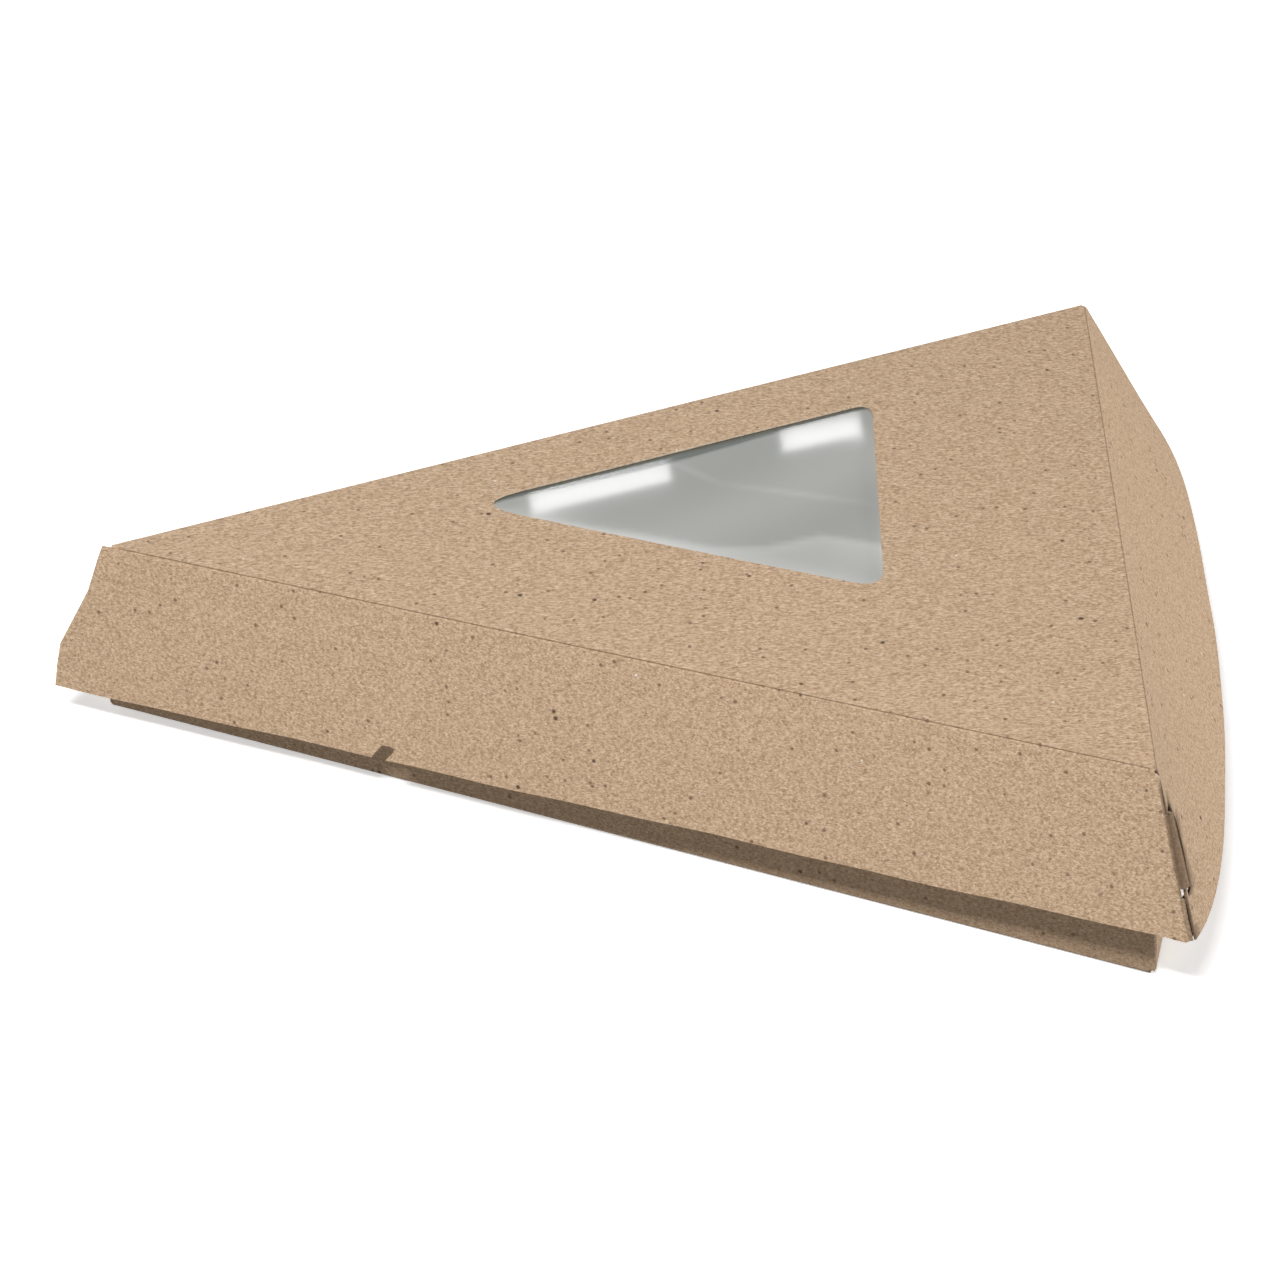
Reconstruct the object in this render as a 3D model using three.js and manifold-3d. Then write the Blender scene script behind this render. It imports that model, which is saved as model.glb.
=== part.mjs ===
// A windowed pizza slice box, folded from kraft board, with its lid standing a little open.
// Millimetres, +Z up, standing on its base. X runs along the middle of the slice, from its tip
// to the crust side. The near side faces -Y, and the lid turns on the fold at the far side.

import * as THREE from 'three';
import { mergeVertices } from 'three/addons/utils/BufferGeometryUtils.js';
import Module from 'manifold-3d';

const wasm = await Module();
wasm.setup();

// Driving dimensions: the sheet

const SLICE_LENGTH = 220; // lid panel, from its tip to the crust crease, along the middle
const HALF_ANGLE = degrees(22.5); // half of one eighth of a round pizza
const BOARD = 0.5; // thickness of the board
const FOLD_RADIUS = 0.8; // outer radius of every fold
const FOLD_STEPS = 4; // flats that stand for the round of a fold

// Driving dimensions: the lid

const HINGE_HEIGHT = 44.3; // top of the far wall, where the lid folds
const LID_AJAR = degrees(2.8); // how far the lid stands open
const NEAR_WALL_WIDTH = 36.85; // crease to free edge, measured down the near wall
const NEAR_WALL_FLARE = degrees(10.7); // how far the near wall leans out from upright
const NEAR_WALL_PAST_TIP = 13.7; // how far the near wall runs on past the tip at its free edge
const TIP_NOSE = 2.4; // the same just under the crease, where the board is blunt
const TIP_SHOULDER = 11.7; // crease to the point where the end starts to slope out
const TIP_SHOULDER_REACH = 4.6; // how far the wall runs past the tip there
const TIP_ELBOW = 26.4; // crease to the end of that slope
const TIP_ELBOW_REACH = 12.2; // how far the wall runs past the tip there
const CRUST_WALL_DROP = 36.2; // lid panel to the crust wall's free edge, straight down
const CRUST_FLARE_LOCKED = 7.9; // how far that edge stands out at the locked corner
const CRUST_FLARE_MIDDLE = 23.3; // the same where the wall bows out most
const CRUST_FLARE_FREE = 17.4; // the same at the free end beside the hinge
const CRUST_BOW_AT = 0.6; // where it bows most, as a share of the way from the locked corner
const CRUST_SPREAD_LOCKED = 9.3; // how far that edge runs past the crease at the locked corner
const CRUST_SPREAD_FREE = 6.4; // the same at the free end
const QUICK_TURN = 0.3; // share of the bow that turns in close to the locked corner
const QUICK_TURN_POWER = 10; // the higher these powers, the closer to its end the wall turns in
const SLOW_TURN_POWER = 1.8;
const FREE_TURN_POWER = 4;

// Driving dimensions: the window and its film

const WINDOW_FROM_NEAR = 41.4; // window edge to the near crease
const WINDOW_FROM_FAR = 18.3; // window edge to the hinge fold
const WINDOW_FROM_CRUST = 51.3; // window edge to the crust crease
const WINDOW_TIP_RADIUS = 2.5;
const WINDOW_NEAR_RADIUS = 4;
const WINDOW_FAR_RADIUS = 3.2;
const FILM = 0.2; // thickness of the film
const FILM_MARGIN = 9; // width of film glued to the lid around the window
const FILM_CORNER_RADIUS = 6;
const GLUE_GAP = 0.3; // film to board

// Driving dimensions: the nick in the near wall's free edge

const NICK_AT = 65; // along the near crease from the tip
const NICK_WIDTH = 3;
const NICK_DEPTH = 3.4;
const NICK_SLANT = 2.5; // how far it leans towards the crust side
const NICK_ROUND = 1.3; // how far its upper corner is rounded off

// Driving dimensions: the corner lock of the lid, a tab of the near wall in a slit of the crust wall

const LOCK_TOP = 9; // lid panel to the upper end of the tab, measured down the wall
const LOCK_LENGTH = 16;
const LOCK_STRIP = 2.2; // board left between the crust wall's end and the slit
const SLIT_WIDTH = 3.6;
const SLIT_PAST_TAB = 2; // how much longer the slit is than the tab, at its lower end
const TAB_INSIDE = 9; // how far the tab runs on behind the crust wall
const TAB_TAPER = 2.5; // how much each side of the tab tapers
const TAB_ROOT = 2; // how far back the tab's bend begins in the near wall
const CLEARANCE = 0.3; // air between pieces of board that pass each other
const CORNER_NOTCH = 1.2; // board cut away where two creases meet

// Driving dimensions: the tray

const TRAY_TIP_AHEAD = 4; // how far the base runs past the lid panel's tip
const TRAY_LENGTH = 226.1; // tip to the line between the base's crust corners
const TRAY_SAGITTA = 11.5; // how far the base's round crust edge stands past that line
const TRAY_NEAR_HEIGHT = 36;
const TRAY_CRUST_HEIGHT = 24;
const TRAY_CRUST_LEAN = degrees(4);
const WALL_END_RELIEF = 7; // how far the long walls are cut back above the crust wall
const WALL_TIP_RELIEF = 5; // how far their upper corners are cut back at the tip
const HINGE_GAP = 0.3; // far wall to the lid's underside
const TAB_LENGTH = 16; // glue tabs behind the tray's walls
const TAB_HEIGHT = 19;
const TAB_FOOT = 2.5; // base to the lower edge of a glue tab
const BITE = 0.1; // glued board is modelled sunk this far into its neighbour
const TIP_PINCH = 2.6; // length of the tip over which the two long walls are pinched together

// Colours

const KRAFT = { color: 0xbfa387, roughness: 0.92, metalness: 0 };
const CLEAR_FILM = { color: 0xd6d8d2, roughness: 0.12, metalness: 0, transparent: true, opacity: 0.35 };

// Directions seen from above

const UP = new THREE.Vector3(0, 0, 1);
const DOWN = new THREE.Vector3(0, 0, -1);
const ALONG_NEAR = new THREE.Vector3(Math.cos(HALF_ANGLE), -Math.sin(HALF_ANGLE), 0);
const ALONG_FAR = new THREE.Vector3(Math.cos(HALF_ANGLE), Math.sin(HALF_ANGLE), 0);
const OUT_NEAR = new THREE.Vector3(-Math.sin(HALF_ANGLE), -Math.cos(HALF_ANGLE), 0);
const OUT_FAR = new THREE.Vector3(-Math.sin(HALF_ANGLE), Math.cos(HALF_ANGLE), 0);
const OUT_CRUST = new THREE.Vector3(1, 0, 0);

// Worked out from the driving dimensions

const HALF_WIDTH = SLICE_LENGTH * Math.tan(HALF_ANGLE); // of the crust crease
const NEAR_CREASE = SLICE_LENGTH / Math.cos(HALF_ANGLE); // its length from the tip
const TRAY_HALF_WIDTH = TRAY_LENGTH * Math.tan(HALF_ANGLE);
const TRAY_EDGE = TRAY_LENGTH / Math.cos(HALF_ANGLE);
const TRAY_RADIUS = (TRAY_HALF_WIDTH ** 2 + TRAY_SAGITTA ** 2) / (2 * TRAY_SAGITTA);
const LONG_WALL_LEAN = Math.asin((TRAY_TIP_AHEAD * Math.sin(HALF_ANGLE)) / HINGE_HEIGHT);
const FAR_WALL_HEIGHT = (HINGE_HEIGHT - BOARD - HINGE_GAP) / Math.cos(LONG_WALL_LEAN);
const PLENTY = SLICE_LENGTH * 2; // longer than the box, for trimming
const TRIM_REACH = 4; // fold radii by which a trimming outline reaches past a wall and its fold

function degrees(angle) {
  return THREE.MathUtils.degToRad(angle);
}

function mix(from, to, share) {
  return from + (to - from) * share;
}

// Solids

function solid(geometry) {
  const bare = geometry.index ? geometry.clone() : geometry;
  bare.deleteAttribute('normal');
  bare.deleteAttribute('uv');
  const merged = mergeVertices(bare, 1e-5);
  return new wasm.Manifold(
    new wasm.Mesh({
      numProp: 3,
      vertProperties: new Float32Array(merged.attributes.position.array),
      triVerts: new Uint32Array(merged.index.array),
    }),
  );
}

function joined(solids) {
  return solids.reduce((sum, next) => sum.add(next));
}

function namedMesh(name, body, finish) {
  const mesh = body.getMesh();
  const geometry = new THREE.BufferGeometry();
  geometry.setAttribute('position', new THREE.BufferAttribute(mesh.vertProperties, 3));
  geometry.setIndex(new THREE.BufferAttribute(mesh.triVerts, 1));
  geometry.computeVertexNormals();
  const part = new THREE.Mesh(geometry, new THREE.MeshStandardMaterial(finish));
  part.name = name;
  return part;
}

// A flat outline made thick between two distances along the way given. The outline's own x and y
// run along xAxis and yAxis from the origin.
function slab(outline, origin, xAxis, yAxis, way, from, to) {
  const zAxis = new THREE.Vector3().crossVectors(xAxis, yAxis);
  const side = Math.sign(zAxis.dot(way));
  const geometry = new THREE.ExtrudeGeometry(outline, {
    depth: to - from,
    bevelEnabled: false,
    curveSegments: 10,
  });
  geometry.translate(0, 0, side > 0 ? from : -to);
  geometry.applyMatrix4(new THREE.Matrix4().makeBasis(xAxis, yAxis, zAxis).setPosition(origin));
  return solid(geometry);
}

// The volume inside a closed surface, below zero where its triangles face inwards.
function enclosedVolume(positions, triangles) {
  const corner = (index) => new THREE.Vector3().fromArray(positions, 3 * triangles[index]);
  let volume = 0;
  for (let first = 0; first < triangles.length; first += 3) {
    const across = corner(first + 1).cross(corner(first + 2));
    volume += corner(first).dot(across) / 6;
  }
  return volume;
}

// One sheet of board between the grids of points on its two faces, closed around its rim.
function sheet(outer, inner) {
  const rows = outer.length;
  const columns = outer[0].length;
  const positions = [...outer.flat(), ...inner.flat()].flatMap((point) => point.toArray());
  const at = (face, row, column) => face * rows * columns + row * columns + column;
  const triangles = [];
  const quad = (a, b, c, d) => triangles.push(a, b, c, a, c, d);
  for (let row = 0; row < rows - 1; row++) {
    for (let column = 0; column < columns - 1; column++) {
      quad(at(0, row, column), at(0, row + 1, column), at(0, row + 1, column + 1), at(0, row, column + 1));
      quad(at(1, row, column), at(1, row, column + 1), at(1, row + 1, column + 1), at(1, row + 1, column));
    }
  }
  for (let row = 0; row < rows - 1; row++) {
    const last = columns - 1;
    quad(at(0, row, 0), at(1, row, 0), at(1, row + 1, 0), at(0, row + 1, 0));
    quad(at(0, row, last), at(0, row + 1, last), at(1, row + 1, last), at(1, row, last));
  }
  for (let column = 0; column < columns - 1; column++) {
    const last = rows - 1;
    quad(at(0, 0, column), at(0, 0, column + 1), at(1, 0, column + 1), at(1, 0, column));
    quad(at(0, last, column), at(1, last, column), at(1, last, column + 1), at(0, last, column + 1));
  }
  const geometry = new THREE.BufferGeometry();
  geometry.setAttribute('position', new THREE.Float32BufferAttribute(positions, 3));
  geometry.setIndex(enclosedVolume(positions, triangles) > 0 ? triangles : triangles.reverse());
  return solid(geometry);
}

// Folds: the outer faces of a panel and its wall meet at the crease line, rounded by FOLD_RADIUS

function foldSetback(bend) {
  return FOLD_RADIUS * Math.tan(bend / 2);
}

// The fold's section at one depth into the board: x is the way out from the crease, y the way
// the wall folds. It starts on the panel and ends at the given width down the wall.
function foldSection(bend, width, depth) {
  const setback = foldSetback(bend);
  const radius = FOLD_RADIUS - depth;
  const points = [new THREE.Vector2(-2 * setback, depth)];
  for (let step = 0; step <= FOLD_STEPS; step++) {
    const turn = (bend * step) / FOLD_STEPS;
    points.push(
      new THREE.Vector2(radius * Math.sin(turn) - setback, FOLD_RADIUS - radius * Math.cos(turn)),
    );
  }
  points.push(
    new THREE.Vector2(
      width * Math.cos(bend) - depth * Math.sin(bend),
      width * Math.sin(bend) + depth * Math.cos(bend),
    ),
  );
  return points;
}

// The way down a wall from its crease, for a wall bent from a flat panel.
function wallWay(out, way, bend) {
  return out.clone().multiplyScalar(Math.cos(bend)).addScaledVector(way, Math.sin(bend));
}

// A flat layer of board on a wall, from its outline, whose x runs along the crease and y down the wall.
function wallLayer(outline, along, out, way, bend, from, to) {
  const down = wallWay(out, way, bend);
  const inward = wallWay(out, way, bend - Math.PI / 2).negate();
  return slab(outline, new THREE.Vector3(), along, down, inward, from, to);
}

// A straight wall with its fold and a lap of the panel, one section drawn along the crease through
// the origin and trimmed to the outline, which also covers the fold.
function straightWall(outline, along, out, way, bend, width, from, to) {
  const section = new THREE.Shape([
    ...foldSection(bend, width, 0),
    ...foldSection(bend, width, BOARD).reverse(),
  ]);
  const whole = slab(section, new THREE.Vector3(), out, way, along, from, to);
  const reach = TRIM_REACH * FOLD_RADIUS;
  return whole.intersect(wallLayer(outline, along, out, way, bend, -reach, reach));
}

// A polygon whose corners are rounded, each by its own radius.
function roundedPolygon(corners, radii) {
  const shape = new THREE.Shape();
  corners.forEach((corner, index) => {
    const before = corners[(index + corners.length - 1) % corners.length];
    const after = corners[(index + 1) % corners.length];
    const back = before.clone().sub(corner).normalize();
    const ahead = after.clone().sub(corner).normalize();
    const half = Math.acos(back.dot(ahead)) / 2;
    const middle = back.clone().add(ahead).normalize();
    const centre = corner.clone().addScaledVector(middle, radii[index] / Math.sin(half));
    const start = corner.clone().addScaledVector(back, radii[index] / Math.tan(half));
    const end = corner.clone().addScaledVector(ahead, radii[index] / Math.tan(half));
    const from = start.clone().sub(centre).angle();
    const to = end.clone().sub(centre).angle();
    shape.absarc(centre.x, centre.y, radii[index], from, to, back.cross(ahead) > 0);
  });
  return shape;
}

// The lid panel, seen from above, with its sides moved in by the given distances.
function wedgeCorners(fromNear, fromFar, fromCrust) {
  const x = SLICE_LENGTH - fromCrust;
  const slope = Math.tan(HALF_ANGLE);
  const nearShift = fromNear / Math.cos(HALF_ANGLE);
  const farShift = fromFar / Math.cos(HALF_ANGLE);
  const tip = new THREE.Vector2((nearShift + farShift) / (2 * slope), (nearShift - farShift) / 2);
  return [tip, new THREE.Vector2(x, nearShift - x * slope), new THREE.Vector2(x, x * slope - farShift)];
}

// The lid. It is modelled closed, with its tip at the origin and its top at zero.

const LID_NEAR_BEND = Math.PI / 2 - NEAR_WALL_FLARE;

function lidPanel() {
  const nearSetback = foldSetback(LID_NEAR_BEND);
  const crustSetback = foldSetback(crustBend(0));
  const outline = new THREE.Shape(wedgeCorners(nearSetback, 0, crustSetback));
  const radii = [WINDOW_TIP_RADIUS, WINDOW_NEAR_RADIUS, WINDOW_FAR_RADIUS];
  outline.holes.push(
    roundedPolygon(wedgeCorners(WINDOW_FROM_NEAR, WINDOW_FROM_FAR, WINDOW_FROM_CRUST), radii),
  );
  return slab(outline, new THREE.Vector3(), OUT_CRUST, new THREE.Vector3(0, 1, 0), DOWN, 0, BOARD);
}

// How far the near wall's crust end has moved along the crease at some width down the wall.
function nearWallEnd(width) {
  const slide = (width / NEAR_WALL_WIDTH) * CRUST_SPREAD_LOCKED;
  return NEAR_CREASE + slide;
}

function nearWall() {
  const above = -TRIM_REACH * FOLD_RADIUS;
  const outline = new THREE.Shape();
  outline.moveTo(0, above);
  outline.lineTo(0, 0);
  outline.lineTo(-TIP_NOSE, 2 * FOLD_RADIUS);
  outline.lineTo(-TIP_SHOULDER_REACH, TIP_SHOULDER);
  outline.lineTo(-TIP_ELBOW_REACH, TIP_ELBOW);
  outline.lineTo(-NEAR_WALL_PAST_TIP, NEAR_WALL_WIDTH);
  const nickEnd = NICK_AT + NICK_WIDTH;
  const nickTop = NEAR_WALL_WIDTH - NICK_DEPTH;
  const slope = NICK_SLANT / NICK_DEPTH;
  outline.lineTo(NICK_AT, NEAR_WALL_WIDTH);
  outline.lineTo(NICK_AT + NICK_SLANT, nickTop);
  outline.lineTo(nickEnd + NICK_SLANT - NICK_ROUND, nickTop);
  outline.quadraticCurveTo(
    nickEnd + NICK_SLANT,
    nickTop,
    nickEnd + NICK_SLANT - NICK_ROUND * slope,
    nickTop + NICK_ROUND,
  );
  outline.lineTo(nickEnd, NEAR_WALL_WIDTH);
  outline.lineTo(nearWallEnd(NEAR_WALL_WIDTH), NEAR_WALL_WIDTH);
  outline.lineTo(nearWallEnd(CORNER_NOTCH), CORNER_NOTCH);
  outline.lineTo(NEAR_CREASE - CORNER_NOTCH, CORNER_NOTCH);
  outline.lineTo(NEAR_CREASE - CORNER_NOTCH, above);
  const span = [-PLENTY / 4, PLENTY];
  const bend = LID_NEAR_BEND;
  return straightWall(outline, ALONG_NEAR, OUT_NEAR, DOWN, bend, NEAR_WALL_WIDTH, ...span);
}

// How far the crust wall's free edge stands out from its crease: a slow bow that is pulled in
// quickly at the locked corner and only a little at the free end. Share runs from 0 at the locked
// corner to 1 at the free end.
function crustFlare(share) {
  const toLocked = Math.max(0, 1 - share / CRUST_BOW_AT);
  const toFree = Math.max(0, (share - CRUST_BOW_AT) / (1 - CRUST_BOW_AT));
  const slow = toLocked ** SLOW_TURN_POWER;
  const quick = toLocked ** QUICK_TURN_POWER;
  const lockedPull = (CRUST_FLARE_MIDDLE - CRUST_FLARE_LOCKED) * mix(slow, quick, QUICK_TURN);
  const freePull = (CRUST_FLARE_MIDDLE - CRUST_FLARE_FREE) * toFree ** FREE_TURN_POWER;
  return CRUST_FLARE_MIDDLE - lockedPull - freePull;
}

function crustBend(share) {
  return Math.atan2(CRUST_WALL_DROP, crustFlare(share));
}

function crustWidth(share) {
  return Math.hypot(CRUST_WALL_DROP, crustFlare(share));
}

// Where a point of the crust wall lies along its crease.
function crustAlong(share, downShare) {
  const crease = mix(-HALF_WIDTH, HALF_WIDTH, share);
  const edge = mix(-HALF_WIDTH - CRUST_SPREAD_LOCKED, HALF_WIDTH + CRUST_SPREAD_FREE, share);
  return mix(crease, edge, downShare);
}

const CRUST_STATIONS = 40;
const STATION_CROWDING = 1.3; // above 1, the stations stand closer together at the locked corner

function crustWall() {
  const faces = [0, BOARD].map((depth) => {
    const rows = [];
    for (let station = 0; station <= CRUST_STATIONS; station++) {
      const share = (station / CRUST_STATIONS) ** STATION_CROWDING;
      const section = foldSection(crustBend(share), crustWidth(share), depth);
      rows.push(
        section.map((point) => {
          const downShare = Math.max(0, point.y / CRUST_WALL_DROP);
          return new THREE.Vector3(SLICE_LENGTH + point.x, crustAlong(share, downShare), -point.y);
        }),
      );
    }
    return rows;
  });
  return sheet(faces[0], faces[1]);
}

// The space that the near wall takes, with its clearance, where the crust wall may not reach.
function nearWallRoom() {
  const reach = TRIM_REACH * FOLD_RADIUS;
  const room = new THREE.Shape([
    new THREE.Vector2(NEAR_CREASE / 2, -reach),
    new THREE.Vector2(NEAR_CREASE + NEAR_WALL_WIDTH, -reach),
    new THREE.Vector2(NEAR_CREASE + NEAR_WALL_WIDTH, 2 * NEAR_WALL_WIDTH),
    new THREE.Vector2(NEAR_CREASE / 2, 2 * NEAR_WALL_WIDTH),
  ]);
  const inner = BOARD + CLEARANCE;
  return wallLayer(room, ALONG_NEAR, OUT_NEAR, DOWN, LID_NEAR_BEND, -NEAR_WALL_WIDTH, inner);
}

// A point over the flat of the crust wall: away from its locked end, down from the panel, and
// out from its outer face.
function overCrustWall(away, down, out) {
  const length = 2 * HALF_WIDTH + CRUST_SPREAD_LOCKED + CRUST_SPREAD_FREE;
  const share = away / length;
  const downShare = down / CRUST_WALL_DROP;
  const point = (atShare) =>
    new THREE.Vector3(
      SLICE_LENGTH + crustFlare(atShare) * downShare,
      crustAlong(atShare, downShare),
      -down,
    );
  const small = 0.002;
  const ahead = point(share + small).sub(point(share - small));
  const slope = new THREE.Vector3(crustFlare(share), 0, -CRUST_WALL_DROP);
  const normal = new THREE.Vector3().crossVectors(slope, ahead).normalize();
  return point(share).addScaledVector(normal, out);
}

// The slit is cut by a thick block that follows the crust wall.
function slit() {
  const low = LOCK_TOP + LOCK_LENGTH + SLIT_PAST_TAB;
  const faces = [2 * BOARD, -3 * BOARD].map((out) =>
    [0, 0.25, 0.5, 0.75, 1].map((share) => {
      const down = mix(LOCK_TOP - CLEARANCE, low, share);
      return [0, 1].map((across) => overCrustWall(LOCK_STRIP + SLIT_WIDTH * across, down, out));
    }),
  );
  return sheet(faces[0], faces[1]);
}

// The lock tab leaves the near wall's end, turns the corner outside the crust wall's last strip,
// dips through the slit and runs on behind the wall.
function lockTab() {
  const outside = BOARD + CLEARANCE;
  const behind = -BOARD - CLEARANCE;
  const pastSlit = LOCK_STRIP + SLIT_WIDTH;
  const stations = 18;
  const rows = [0, 0.25, 0.5, 0.75, 1].map((share) => {
    const root = mix(LOCK_TOP, LOCK_TOP + LOCK_LENGTH, share);
    const free = mix(LOCK_TOP + TAB_TAPER, LOCK_TOP + LOCK_LENGTH - TAB_TAPER, share);
    const level = (away) => mix(root, free, away / (pastSlit + TAB_INSIDE));
    const over = (away, out) => overCrustWall(away, level(away), out);
    const path = new THREE.CatmullRomCurve3([
      nearWallPoint(nearWallEnd(root) - TAB_ROOT, root),
      nearWallPoint(nearWallEnd(root) + 2 * CLEARANCE, root),
      over(BOARD, outside + CLEARANCE),
      over(LOCK_STRIP, outside),
      over(pastSlit, behind),
      over(pastSlit + TAB_INSIDE / 2, behind),
      over(pastSlit + TAB_INSIDE, behind),
    ]);
    return path.getPoints(stations);
  });
  const inner = rows.map((row, rowIndex) =>
    row.map((point, index) => {
      const nextRow = rows[Math.min(rowIndex + 1, rows.length - 1)][index];
      const lastRow = rows[Math.max(rowIndex - 1, 0)][index];
      const down = nextRow.clone().sub(lastRow);
      const ahead = row[Math.min(index + 1, stations)].clone().sub(row[Math.max(index - 1, 0)]);
      const normal = new THREE.Vector3().crossVectors(down, ahead).normalize();
      return point.clone().addScaledVector(normal, -BOARD);
    }),
  );
  return sheet(rows, inner);
}

function nearWallPoint(along, width) {
  const down = wallWay(OUT_NEAR, DOWN, LID_NEAR_BEND);
  return new THREE.Vector3().addScaledVector(ALONG_NEAR, along).addScaledVector(down, width);
}

function lid() {
  const walls = joined([lidPanel(), nearWall(), crustWall().subtract(slit()).subtract(nearWallRoom())]);
  return namedMesh('lid', walls.add(lockTab()), KRAFT);
}

// The film under the window, glued to the lid panel.
function windowFilm() {
  const corners = wedgeCorners(
    WINDOW_FROM_NEAR - FILM_MARGIN,
    WINDOW_FROM_FAR - FILM_MARGIN,
    WINDOW_FROM_CRUST - FILM_MARGIN,
  );
  const radii = [FILM_CORNER_RADIUS / 2, FILM_CORNER_RADIUS, FILM_CORNER_RADIUS];
  const outline = roundedPolygon(corners, radii);
  const top = BOARD + GLUE_GAP;
  const yAxis = new THREE.Vector3(0, 1, 0);
  const film = slab(outline, new THREE.Vector3(), OUT_CRUST, yAxis, DOWN, top, top + FILM);
  return namedMesh('window_film', film, CLEAR_FILM);
}

// The tray. Its tip stands at the origin and its base lies at zero.

const LONG_WALL_BEND = Math.PI / 2 + LONG_WALL_LEAN;
const TRAY_CRUST_BEND = Math.PI / 2 + TRAY_CRUST_LEAN;
const ARC_CENTRE_X = TRAY_LENGTH + TRAY_SAGITTA - TRAY_RADIUS;
const ARC_HALF = Math.asin(TRAY_HALF_WIDTH / TRAY_RADIUS);
const TIP_START = 1.7 * BOARD; // where the long walls start, so that neither pokes through the other

function base() {
  const setback = foldSetback(LONG_WALL_BEND);
  const radius = TRAY_RADIUS - foldSetback(TRAY_CRUST_BEND);
  const trim = setback / Math.cos(HALF_ANGLE);
  const half = ARC_HALF - setback / radius;
  const outline = new THREE.Shape();
  outline.moveTo(trim / Math.tan(HALF_ANGLE), 0);
  outline.lineTo(ARC_CENTRE_X + radius * Math.cos(half), -radius * Math.sin(half));
  outline.absarc(ARC_CENTRE_X, 0, radius, -half, half);
  return slab(outline, new THREE.Vector3(), OUT_CRUST, new THREE.Vector3(0, 1, 0), UP, 0, BOARD);
}

// How far a long wall's crust end has moved back at some height, to follow the leaning crust wall.
function longWallEnd(height) {
  return TRAY_EDGE - BITE - (height * Math.tan(TRAY_CRUST_LEAN)) / Math.cos(HALF_ANGLE);
}

// Where a long wall starts at some height, as the tip leans in with the walls.
function longWallStart(height) {
  return TIP_START + (height * Math.cos(HALF_ANGLE) * TRAY_TIP_AHEAD) / HINGE_HEIGHT;
}

function longWallOutline(height) {
  const tipHeight = height - 2 * WALL_TIP_RELIEF;
  const below = -TRIM_REACH * FOLD_RADIUS;
  return new THREE.Shape([
    new THREE.Vector2(longWallStart(0), below),
    new THREE.Vector2(TRAY_EDGE - CORNER_NOTCH, below),
    new THREE.Vector2(TRAY_EDGE - CORNER_NOTCH, CORNER_NOTCH),
    new THREE.Vector2(longWallEnd(CORNER_NOTCH), CORNER_NOTCH),
    new THREE.Vector2(longWallEnd(TRAY_CRUST_HEIGHT), TRAY_CRUST_HEIGHT),
    new THREE.Vector2(longWallEnd(height) - WALL_END_RELIEF, height),
    new THREE.Vector2(longWallStart(height) + WALL_TIP_RELIEF, height),
    new THREE.Vector2(longWallStart(tipHeight), tipHeight),
    new THREE.Vector2(longWallStart(0), 0),
  ]);
}

function longWall(along, out, height) {
  const outline = longWallOutline(height);
  return straightWall(outline, along, out, UP, LONG_WALL_BEND, height, -PLENTY / 4, PLENTY);
}

function trayCrustWall() {
  const stations = 36;
  const faces = [0, BOARD].map((depth) => {
    const rows = [];
    for (let station = 0; station <= stations; station++) {
      const angle = mix(-ARC_HALF, ARC_HALF, station / stations);
      const out = new THREE.Vector3(Math.cos(angle), Math.sin(angle), 0);
      const width = TRAY_CRUST_HEIGHT / Math.cos(TRAY_CRUST_LEAN);
      rows.push(
        foldSection(TRAY_CRUST_BEND, width, depth).map((point) =>
          new THREE.Vector3(ARC_CENTRE_X, 0, point.y).addScaledVector(out, TRAY_RADIUS + point.x),
        ),
      );
    }
    return rows;
  });
  return sheet(faces[0], faces[1]);
}

// A glue tab flat behind a long wall. Its end is given as a function of the height.
function glueTab(along, out, from, endAt) {
  const outline = new THREE.Shape([
    new THREE.Vector2(from, TAB_FOOT),
    new THREE.Vector2(endAt(TAB_FOOT), TAB_FOOT),
    new THREE.Vector2(endAt(TAB_HEIGHT), TAB_HEIGHT),
    new THREE.Vector2(from, TAB_HEIGHT - TAB_FOOT),
  ]);
  return wallLayer(outline, along, out, UP, LONG_WALL_BEND, BOARD - BITE, 2 * BOARD);
}

// A wedge that leans with the long walls and ends inside their thickness, up to some x and height.
function betweenLongWalls(inset, length, height) {
  const slope = Math.tan(HALF_ANGLE);
  const tip = inset / Math.sin(HALF_ANGLE);
  const wedge = new THREE.Shape([
    new THREE.Vector2(tip, 0),
    new THREE.Vector2(length, (tip - length) * slope),
    new THREE.Vector2(length, (length - tip) * slope),
  ]);
  const geometry = new THREE.ExtrudeGeometry(wedge, { depth: height, bevelEnabled: false });
  const shear = new THREE.Matrix4();
  shear.elements[8] = TRAY_TIP_AHEAD / HINGE_HEIGHT;
  geometry.applyMatrix4(shear);
  return solid(geometry);
}

function tray() {
  const tipHeight = TRAY_NEAR_HEIGHT - 2 * WALL_TIP_RELIEF;
  const tabStart = TRAY_EDGE - TAB_LENGTH;
  const atCrust = (height) => longWallEnd(height) - BITE;
  const body = joined([
    base(),
    longWall(ALONG_NEAR, OUT_NEAR, TRAY_NEAR_HEIGHT),
    longWall(ALONG_FAR, OUT_FAR, FAR_WALL_HEIGHT),
    trayCrustWall().intersect(betweenLongWalls(BOARD / 2, PLENTY, HINGE_HEIGHT)),
    betweenLongWalls(BITE, TIP_PINCH, tipHeight - BITE),
    glueTab(ALONG_NEAR, OUT_NEAR, tabStart, atCrust),
    glueTab(ALONG_FAR, OUT_FAR, tabStart, atCrust),
    glueTab(ALONG_FAR, OUT_FAR, 3 * BOARD, () => TAB_LENGTH),
  ]);
  return namedMesh('tray', body, KRAFT);
}

// Assembly: the lid and its film turn together on the fold at the top of the far wall

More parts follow.
